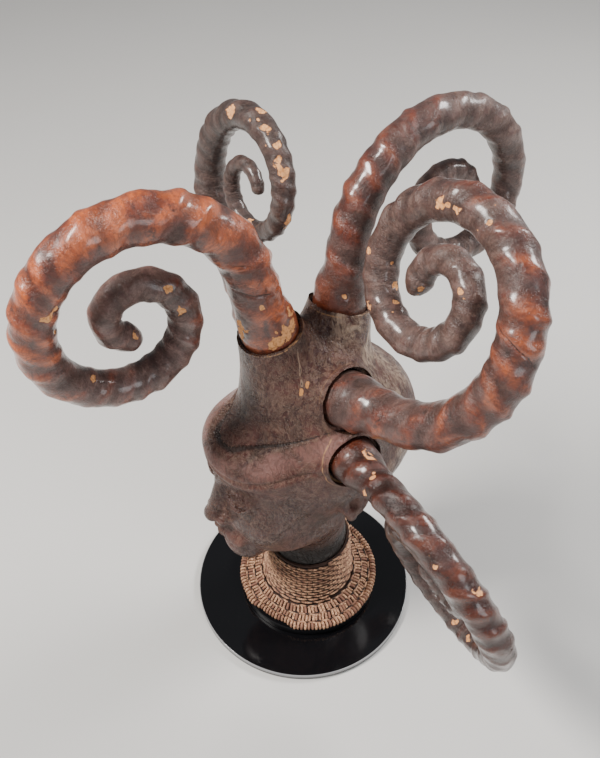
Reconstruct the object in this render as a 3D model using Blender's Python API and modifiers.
"""Crest mask: a carved head with five spiral horns, its basketry cap and its round stand."""
import bpy
import bmesh
import math
import numpy as np
from mathutils import Matrix, Vector

# All sizes in metres, +Z up, the face towards -Y, origin at the middle of the stand's underside.
TOUCH_GAP = 0.0003

STAND_RADIUS = 0.135
STAND_THICKNESS = 0.009
STAND_EDGE_BEVEL = 0.0012
STEP_RADIUS = 0.0855
STEP_THICKNESS = 0.011
STEP_EDGE_BEVEL = 0.0010

# The step, the basket and the neck stand a little behind the middle of the disc.
NECK_SET_BACK = 0.007

BRIM_RADIUS = 0.0885
BRIM_THICKNESS = 0.0065
BRIM_ROLL = 0.0050
# How far the brim climbs from its rolled edge to the foot of the collar.
BRIM_RISE = 0.0100
COLLAR_FOOT_RADIUS = 0.0545
COLLAR_TOP_RADIUS = 0.0515
COLLAR_HEIGHT = 0.0880
BASKET_WALL = 0.0045
CROWN_HEIGHT = 0.0260
NECK_CLEARANCE = 0.0006

NECK_TOP_RADIUS = 0.0440
# From the top of the basket's collar up to the level of the chin.
NECK_RISE = 0.0284

# The head's forms are shares of its height from chin to crown.
HEAD_HEIGHT = 0.268
HEAD_AROUND_STEPS = 44
HEAD_UP_STEPS = 28

SOCKET_WALL = 0.0028
SOCKET_CLEARANCE = 0.0012
SOCKET_FLARE = 0.06
# How far a collar is cast past its rim, and how high the cut that levels the rim reaches.
COLLAR_STUB = 0.006
RIM_CUT_HEIGHT = 0.026
RIM_CUT_MARGIN = 0.0004

# Distance between a horn's rings, as a share of its radius and at the least.
RING_SPACING = 0.74
RING_SPACING_LEAST = 0.0090
# How far the lobes of a horn stand out, as a share of its radius.
LOBE_HEIGHT = 0.035
# How far from its socket a horn narrows from its root to its body.
ROOT_EASE = 0.055

# foot: middle of the rim of its socket, in heights of the head from the middle of the neck at the
# level of the chin; heading and rise: way the horn leaves the head, in degrees;
# roll: way that it bends, in degrees; lead: straight run before the coil; first_bend and
# last_bend: radius of the coil at its start and at its tip; turn: how far it winds, in degrees;
# tightening: over 1 keeps the coil wide for longer; fullness: how much wider it is half way;
# skew: how much wider before and narrower past half way; drift: how far the tip leaves its plane.
HORNS = {
    "horn_front": dict(foot=(-0.0340, -0.1388, 1.1701), heading=-108.2, rise=77.2, roll=-72.2,
                       lead=0.078, first_bend=0.0961, last_bend=0.0221, turn=632.5, tightening=1.36,
                       fullness=-0.032, skew=0.131, drift=-0.0255, root_radius=0.0276,
                       body_radius=0.0241, tip_radius=0.0134, socket_depth=0.024, sides=10),
    "horn_right": dict(foot=(-0.2455, -0.0664, 0.9690), heading=-178.8, rise=35.6, roll=101.4,
                       lead=0.0968, first_bend=0.101, last_bend=0.021, turn=582.4, tightening=0.91,
                       fullness=-0.059, skew=0.027, drift=-0.014, root_radius=0.024,
                       body_radius=0.0203, tip_radius=0.0062, socket_depth=0.018, sides=8),
    "horn_crown": dict(foot=(-0.0619, 0.1541, 1.1578), heading=128.8, rise=72.6, roll=-124.6,
                       lead=0.0603, first_bend=0.1358, last_bend=0.0226, turn=547.4, tightening=1.01,
                       fullness=-0.025, skew=-0.035, drift=0.0099, root_radius=0.0265,
                       body_radius=0.0207, tip_radius=0.0119, socket_depth=0.024, sides=8),
    "horn_left_upper": dict(foot=(0.1970, 0.0362, 0.9638), heading=15.4, rise=17.7, roll=65.2,
                            lead=0.0634, first_bend=0.1209, last_bend=0.0205, turn=662.1, tightening=1.01,
                            fullness=0.058, skew=0.009, drift=-0.0144, root_radius=0.0285,
                            body_radius=0.023, tip_radius=0.0131, socket_depth=0.018, sides=10),
    "horn_left_lower": dict(foot=(0.2981, 0.0127, 0.7537), heading=-0.9, rise=15.5, roll=-71.7,
                            lead=0.0664, first_bend=0.1188, last_bend=0.0258, turn=628.2, tightening=1.15,
                            fullness=0.006, skew=-0.007, drift=0.005, root_radius=0.0245,
                            body_radius=0.0174, tip_radius=0.012, socket_depth=0.017, sides=8),
}

BASKET_BASE = STAND_THICKNESS + STEP_THICKNESS + 2 * TOUCH_GAP
COLLAR_TOP = BASKET_BASE + COLLAR_HEIGHT
CROWN_TOP = BASKET_BASE + CROWN_HEIGHT
BRIM_TOP = BASKET_BASE + BRIM_THICKNESS
COLLAR_FOOT = BRIM_TOP + BRIM_RISE
NECK_FOOT = CROWN_TOP + TOUCH_GAP
CHIN_HEIGHT = COLLAR_TOP + NECK_RISE
NECK_TRIM_HEIGHT = COLLAR_TOP + 0.70 * NECK_RISE
NECK_TOP_HEIGHT = CHIN_HEIGHT + 0.105 * HEAD_HEIGHT
HEAD_MIDDLE = CHIN_HEIGHT + 0.56 * HEAD_HEIGHT


def clear_scene():
    """Removes every object of the scene."""
    for item in list(bpy.data.objects):
        bpy.data.objects.remove(item, do_unlink=True)


def make_material(name, colour, roughness, metallic=0.0):
    """Makes a plain Principled material."""
    material = bpy.data.materials.new(name)
    material.use_nodes = True
    shader = material.node_tree.nodes["Principled BSDF"]
    shader.inputs["Base Color"].default_value = (*colour, 1.0)
    shader.inputs["Roughness"].default_value = roughness
    shader.inputs["Metallic"].default_value = metallic
    material.diffuse_color = (*colour, 1.0)
    return material


def add_object(name, data, collection, material=None):
    """Links a new object for some data and gives it its material."""
    item = bpy.data.objects.new(name, data)
    collection.objects.link(item)
    if material:
        data.materials.append(material)
    return item


def make_disc(name, radius, thickness, edge, place, steps, collection, material):
    """Makes a level disc with a rounded edge; place is its (y, height) at the underside's middle."""
    mesh = bpy.data.meshes.new(name)
    shape = bmesh.new()
    bmesh.ops.create_cone(shape, cap_ends=True, segments=steps, radius1=radius, radius2=radius,
                          depth=thickness)
    shape.to_mesh(mesh)
    shape.free()
    disc = add_object(name, mesh, collection, material)
    disc.location = (0.0, place[0], place[1] + thickness / 2)
    bevel = disc.modifiers.new("rounded edge", "BEVEL")
    bevel.width = edge
    bevel.segments = 1
    bevel.limit_method = "ANGLE"
    return disc


def turn_profile(name, profile, steps, collection, material=None):
    """Turns a profile of (radius, height) points, from top to bottom, round the Z axis."""
    mesh = bpy.data.meshes.new(name)
    mesh.from_pydata([(radius, 0.0, height) for radius, height in profile],
                     [(i, i + 1) for i in range(len(profile) - 1)], [])
    item = add_object(name, mesh, collection, material)
    screw = item.modifiers.new("turned", "SCREW")
    screw.axis = "Z"
    screw.angle = 2 * math.pi
    screw.steps = steps
    screw.render_steps = steps
    screw.use_merge_vertices = True
    screw.merge_threshold = 0.00005
    screw.use_smooth_shade = False
    return item


def collar_radius(height):
    """Outer radius of the basket's collar at a height."""
    share = (height - COLLAR_FOOT) / (COLLAR_TOP - COLLAR_FOOT)
    return COLLAR_FOOT_RADIUS + (COLLAR_TOP_RADIUS - COLLAR_FOOT_RADIUS) * share


def make_basket(collection, material):
    """Makes the cap: collar, crown under the neck, wide brim with a rolled edge, hollow below."""
    crown_under = CROWN_TOP - BASKET_WALL
    flare = 0.20 * (BRIM_RADIUS - COLLAR_FOOT_RADIUS)
    roll_middle = BRIM_RADIUS - BRIM_ROLL
    profile = [
        (0.0, CROWN_TOP),
        (collar_radius(CROWN_TOP) - BASKET_WALL, CROWN_TOP),
        (collar_radius(COLLAR_TOP) - BASKET_WALL, COLLAR_TOP),
        (collar_radius(COLLAR_TOP) - 0.3 * BASKET_WALL, COLLAR_TOP + 0.4 * BASKET_WALL),
        (collar_radius(COLLAR_TOP), COLLAR_TOP - 0.5 * BASKET_WALL),
        (collar_radius(COLLAR_FOOT + flare), COLLAR_FOOT + flare),
        (COLLAR_FOOT_RADIUS + 0.25 * flare, COLLAR_FOOT + 0.35 * flare),
        (COLLAR_FOOT_RADIUS + flare, COLLAR_FOOT - 0.15 * BRIM_RISE),
        (roll_middle - BRIM_ROLL, BRIM_TOP + 0.10 * BRIM_RISE),
    ]
    roll_height = BASKET_BASE + BRIM_ROLL
    for degrees in (120, 75, 30, -15, -60):
        angle = math.radians(degrees)
        profile.append((roll_middle + BRIM_ROLL * math.cos(angle),
                        roll_height + BRIM_ROLL * math.sin(angle)))
    profile += [
        (roll_middle, BASKET_BASE),
        (COLLAR_FOOT_RADIUS - BASKET_WALL, BASKET_BASE),
        (collar_radius(crown_under) - BASKET_WALL, crown_under),
        (0.0, crown_under),
    ]
    basket = turn_profile("basket_cap", profile, 36, collection, material)
    basket.location = (0.0, NECK_SET_BACK, 0.0)
    return basket


def ellipsoid(points, centre, sizes):
    """Near distance of points to an ellipsoid."""
    offset = points - np.array(centre)
    near = np.linalg.norm(offset / np.array(sizes), axis=1)
    slope = np.linalg.norm(offset / np.array(sizes) ** 2, axis=1) + 1e-9
    return near * (near - 1.0) / slope


def rod(points, start, end, start_radius, end_radius):
    """Distance of points to a round-ended rod whose radius changes along it."""
    start = np.array(start)
    way = np.array(end) - start
    share = np.clip((points - start) @ way / (way @ way), 0.0, 1.0)
    middle = start + share[:, None] * way
    return np.linalg.norm(points - middle, axis=1) - (start_radius + (end_radius - start_radius) * share)


def blend(first, second, width):
    """Joins two distances with a soft fillet."""
    share = np.clip(0.5 + 0.5 * (second - first) / width, 0.0, 1.0)
    return second * (1.0 - share) + first * share - width * share * (1.0 - share)


def head_distance(points, collars):
    """Distance to the carved head, with its neck and the raised collars of the horns."""
    unit = HEAD_HEIGHT
    local = (points - np.array((0.0, NECK_SET_BACK, CHIN_HEIGHT))) / unit
    mirrored = np.column_stack((np.abs(local[:, 0]), local[:, 1:]))
    shape = ellipsoid(mirrored, (0.0, 0.060, 0.600), (0.312, 0.395, 0.390))
    shape = blend(shape, ellipsoid(mirrored, (0.0, -0.180, 0.668), (0.255, 0.254, 0.130)), 0.05)
    shape = blend(shape, ellipsoid(mirrored, (0.0, -0.150, 0.370), (0.238, 0.255, 0.335)), 0.07)
    shape = blend(shape, ellipsoid(mirrored, (0.0, -0.070, 0.200), (0.210, 0.235, 0.130)), 0.09)
    shape = blend(shape, ellipsoid(mirrored, (0.0, -0.300, 0.095), (0.112, 0.095, 0.095)), 0.05)
    shape = blend(shape, ellipsoid(mirrored, (0.120, -0.262, 0.330), (0.100, 0.090, 0.100)), 0.06)
    brow = rod(mirrored, (0.0, -0.372, 0.560), (0.175, -0.262, 0.565), 0.030, 0.020)
    shape = blend(shape, brow, 0.04)
    eye = ellipsoid(mirrored, (0.105, -0.322, 0.480), (0.062, 0.050, 0.036))
    shape = blend(shape, eye, 0.015)
    nose = rod(mirrored, (0.0, -0.365, 0.520), (0.0, -0.425, 0.335), 0.028, 0.046)
    shape = blend(shape, nose, 0.03)
    shape = blend(shape, ellipsoid(mirrored, (0.045, -0.388, 0.325), (0.040, 0.045, 0.034)), 0.02)
    shape = blend(shape, ellipsoid(mirrored, (0.0, -0.362, 0.232), (0.105, 0.062, 0.030)), 0.02)
    shape = blend(shape, ellipsoid(mirrored, (0.0, -0.355, 0.180), (0.090, 0.060, 0.030)), 0.02)
    ear = ellipsoid(mirrored, (0.262, 0.050, 0.430), (0.055, 0.070, 0.115))
    shape = blend(shape, ear, 0.03) * unit
    neck = np.hypot(points[:, 0], points[:, 1] - NECK_SET_BACK) - (NECK_TOP_RADIUS - 0.0006)
    neck = np.maximum(neck, points[:, 2] - HEAD_MIDDLE)
    shape = blend(shape, neck, 0.022)
    for foot, way, rim in collars:
        top = foot + way * COLLAR_STUB
        low = foot - way * 0.075
        shape = blend(shape, rod(points, low, top - way * rim, rim + 0.075 * SOCKET_FLARE, rim), 0.030)
        tube = rod(points, low, top, rim + 0.075 * SOCKET_FLARE, rim)
        flat = np.maximum(tube, (points - top) @ way)
        shape = blend(shape, flat, 0.012)
    return shape


def cast_head(directions, centre, collars):
    """Finds how far the carved surface lies from the centre along each direction."""
    far = 0.30
    steps = np.linspace(0.02, far, 90)
    inside = np.full(len(directions), steps[0])
    outside = np.full(len(directions), far)
    open_rays = np.ones(len(directions), bool)
    for step in steps[1:]:
        values = head_distance(centre + directions * step, collars)
        crossed = open_rays & (values > 0)
        outside[crossed] = step
        open_rays &= ~crossed
        inside[open_rays] = step
    for _ in range(18):
        middle = 0.5 * (inside + outside)
        values = head_distance(centre + directions * middle[:, None], collars)
        within = values <= 0
        inside = np.where(within, middle, inside)
        outside = np.where(within, outside, middle)
    return inside


def horn_frame(horn):
    """Way that a horn leaves the head, way that it bends, and the coil's own axis."""
    heading = math.radians(horn["heading"])
    rise = math.radians(horn["rise"])
    roll = math.radians(horn["roll"])
    way = Vector((math.cos(rise) * math.cos(heading), math.cos(rise) * math.sin(heading), math.sin(rise)))
    level = Vector((-math.sin(heading), math.cos(heading), 0.0))
    bend = math.cos(roll) * level + math.sin(roll) * way.cross(level)
    return way, bend, way.cross(bend)


def horn_foot(horn):
    """Middle of the rim of a horn's socket."""
    x, y, z = (share * HEAD_HEIGHT for share in horn["foot"])
    return Vector((x, NECK_SET_BACK + y, CHIN_HEIGHT + z))


def horn_points(horn):
    """Points and radii along a horn, from its butt in the socket to its tip."""
    way, bend, axis = horn_frame(horn)
    foot = horn_foot(horn)
    turn = math.radians(horn["turn"])
    butt = horn["socket_depth"] - TOUCH_GAP
    fine = 900
    path = [(0.0, -butt, 0.0), (0.0, 0.0, 0.0)]
    along, aside, travelled = horn["lead"], 0.0, horn["lead"]
    path.append((travelled, along, aside))
    for i in range(fine):
        share = (i + 0.5) / fine
        radius = horn["first_bend"] * (horn["last_bend"] / horn["first_bend"]) ** (share ** horn["tightening"])
        radius *= math.exp(horn["fullness"] * math.sin(math.pi * share)
                           + horn["skew"] * math.sin(2 * math.pi * share))
        step = radius * turn / fine
        along += step * math.cos(share * turn)
        aside += step * math.sin(share * turn)
        travelled += step
        path.append((travelled, along, aside))
    length = travelled
    distances = np.array([-butt] + [entry[0] for entry in path[1:]])
    alongs = np.array([entry[1] for entry in path])
    asides = np.array([entry[2] for entry in path])

    def radius_at(distance):
        body = horn["body_radius"] + (horn["tip_radius"] - horn["body_radius"]) * max(distance, 0.0) / length
        ease = min(max(distance, 0.0) / ROOT_EASE, 1.0)
        ease = ease * ease * (3 - 2 * ease)
        return body + (horn["root_radius"] - horn["body_radius"]) * (1 - ease)

    places = [-butt, 0.0]
    while places[-1] < length:
        places.append(places[-1] + max(RING_SPACING * radius_at(places[-1]), RING_SPACING_LEAST))
    stretch = length / places[-1]
    points, radii = [], []
    for index, place in enumerate(places):
        place = place * stretch if place > 0 else place
        drift = horn["drift"] * (max(place, 0.0) / length) ** 2
        spot = (foot + way * float(np.interp(place, distances, alongs))
                + bend * float(np.interp(place, distances, asides)) + axis * drift)
        lobe = 1.0 + LOBE_HEIGHT * (1 if index % 2 == 0 else -1) if index > 2 else 1.0
        points.append(spot)
        radii.append(radius_at(place) * lobe)
    for back, share in ((1, 0.45), (2, 0.82)):
        radii[-back] = horn["tip_radius"] * share
    return points, radii


def make_horn(name, horn, collection, material):
    """Makes a horn as a tapering tube on its spiral path."""
    points, radii = horn_points(horn)
    curve = bpy.data.curves.new(name, "CURVE")
    curve.dimensions = "3D"
    curve.bevel_depth = 1.0
    curve.bevel_resolution = horn["sides"] // 2 - 2
    curve.use_fill_caps = True
    curve.twist_mode = "MINIMUM"
    spline = curve.splines.new("POLY")
    spline.points.add(len(points) - 1)
    for knot, point, radius in zip(spline.points, points, radii):
        knot.co = (*point, 1.0)
        knot.radius = radius
    return add_object(name, curve, collection, material)


def make_socket_cutter(name, horn, cutters):
    """Makes the tool that cuts one socket: the round hole and the flat of its rim."""
    way, _, _ = horn_frame(horn)
    hole = horn["root_radius"] + SOCKET_CLEARANCE
    trim = hole + SOCKET_WALL + RIM_CUT_MARGIN
    profile = [(0.0, RIM_CUT_HEIGHT), (trim, RIM_CUT_HEIGHT), (trim, 0.0), (hole, 0.0),
               (hole, -horn["socket_depth"]), (0.0, -horn["socket_depth"])]
    cutter = turn_profile(name, profile, 20, cutters)
    cutter.matrix_world = Matrix.LocRotScale(horn_foot(horn), way.to_track_quat("Z", "Y"), None)
    cutter.hide_render = True
    cutter.display_type = "WIRE"
    return cutter


def make_neck_foot(cutters):
    """Makes the neck's foot, which fills the basket's collar down to its crown."""
    inset = BASKET_WALL + NECK_CLEARANCE
    profile = [
        (0.0, NECK_TOP_HEIGHT),
        (NECK_TOP_RADIUS * 0.93, NECK_TOP_HEIGHT),
        (NECK_TOP_RADIUS, NECK_TRIM_HEIGHT),
        (collar_radius(COLLAR_TOP) - inset, COLLAR_TOP + 0.4 * BASKET_WALL),
        (collar_radius(COLLAR_TOP) - inset, COLLAR_TOP),
        (collar_radius(NECK_FOOT) - inset, NECK_FOOT),
        (0.0, NECK_FOOT),
    ]
    foot = turn_profile("neck_foot_form", profile, 36, cutters)
    foot.location = (0.0, NECK_SET_BACK, 0.0)
    foot.hide_render = True
    foot.display_type = "WIRE"
    return foot


def make_neck_trim(cutters):
    """Makes the block that cuts the cast head off at the neck's foot form."""
    mesh = bpy.data.meshes.new("neck_trim")
    shape = bmesh.new()
    bmesh.ops.create_cube(shape, size=1.0)
    shape.to_mesh(mesh)
    shape.free()
    block = add_object("neck_trim", mesh, cutters)
    block.scale = (0.6, 0.6, 0.4)
    block.location = (0.0, 0.0, NECK_TRIM_HEIGHT - 0.2)
    block.hide_render = True
    block.display_type = "WIRE"
    return block


def make_head(collection, cutters, material):
    """Casts the carved head on a sphere, then joins the neck's foot and cuts the sockets."""
    collars = []
    for horn in HORNS.values():
        way, _, _ = horn_frame(horn)
        rim = horn["root_radius"] + SOCKET_CLEARANCE + SOCKET_WALL
        collars.append((np.array(horn_foot(horn)), np.array(way), rim))
    mesh = bpy.data.meshes.new("head")
    shape = bmesh.new()
    bmesh.ops.create_uvsphere(shape, u_segments=HEAD_AROUND_STEPS, v_segments=HEAD_UP_STEPS, radius=1.0)
    corners = np.array([vertex.co[:] for vertex in shape.verts])
    around = np.arctan2(corners[:, 0], -corners[:, 1])
    around -= 0.38 * np.sin(around)
    flat = np.hypot(corners[:, 0], corners[:, 1])
    directions = np.column_stack((np.sin(around) * flat, -np.cos(around) * flat, corners[:, 2]))
    centre = np.array((0.0, NECK_SET_BACK, HEAD_MIDDLE))
    reach = cast_head(directions, centre, collars)
    placed = centre + directions * reach[:, None]
    for vertex, place in zip(shape.verts, placed):
        vertex.co = place
    shape.to_mesh(mesh)
    shape.free()
    head = add_object("head", mesh, collection, material)
    tools = [("DIFFERENCE", make_neck_trim(cutters)), ("UNION", make_neck_foot(cutters))]
    for name, horn in HORNS.items():
        tools.append(("DIFFERENCE", make_socket_cutter(name + "_socket", horn, cutters)))
    for operation, tool in tools:
        boolean = head.modifiers.new(tool.name, "BOOLEAN")
        boolean.operation = operation
        boolean.solver = "EXACT"
        boolean.object = tool
    return head


def main():
    clear_scene()
    collection = bpy.data.collections.new("crest_mask")
    cutters = bpy.data.collections.new("cutters")
    bpy.context.scene.collection.children.link(collection)
    bpy.context.scene.collection.children.link(cutters)
    black = make_material("black gloss lacquer", (0.012, 0.012, 0.014), 0.12)
    cane = make_material("cane", (0.42, 0.27, 0.15), 0.75)
    skin = make_material("dark skin", (0.075, 0.045, 0.038), 0.55)
    varnish = make_material("varnished skin", (0.16, 0.062, 0.030), 0.32)
    make_disc("stand_disc", STAND_RADIUS, STAND_THICKNESS, STAND_EDGE_BEVEL, (0.0, 0.0), 56,
              collection, black)
    make_disc("stand_step", STEP_RADIUS, STEP_THICKNESS, STEP_EDGE_BEVEL,
              (NECK_SET_BACK, STAND_THICKNESS + TOUCH_GAP), 40, collection, black)
    make_basket(collection, cane)
    make_head(collection, cutters, skin)
    for name, horn in HORNS.items():
        make_horn(name, horn, collection, varnish)
    bpy.context.view_layer.update()


main()
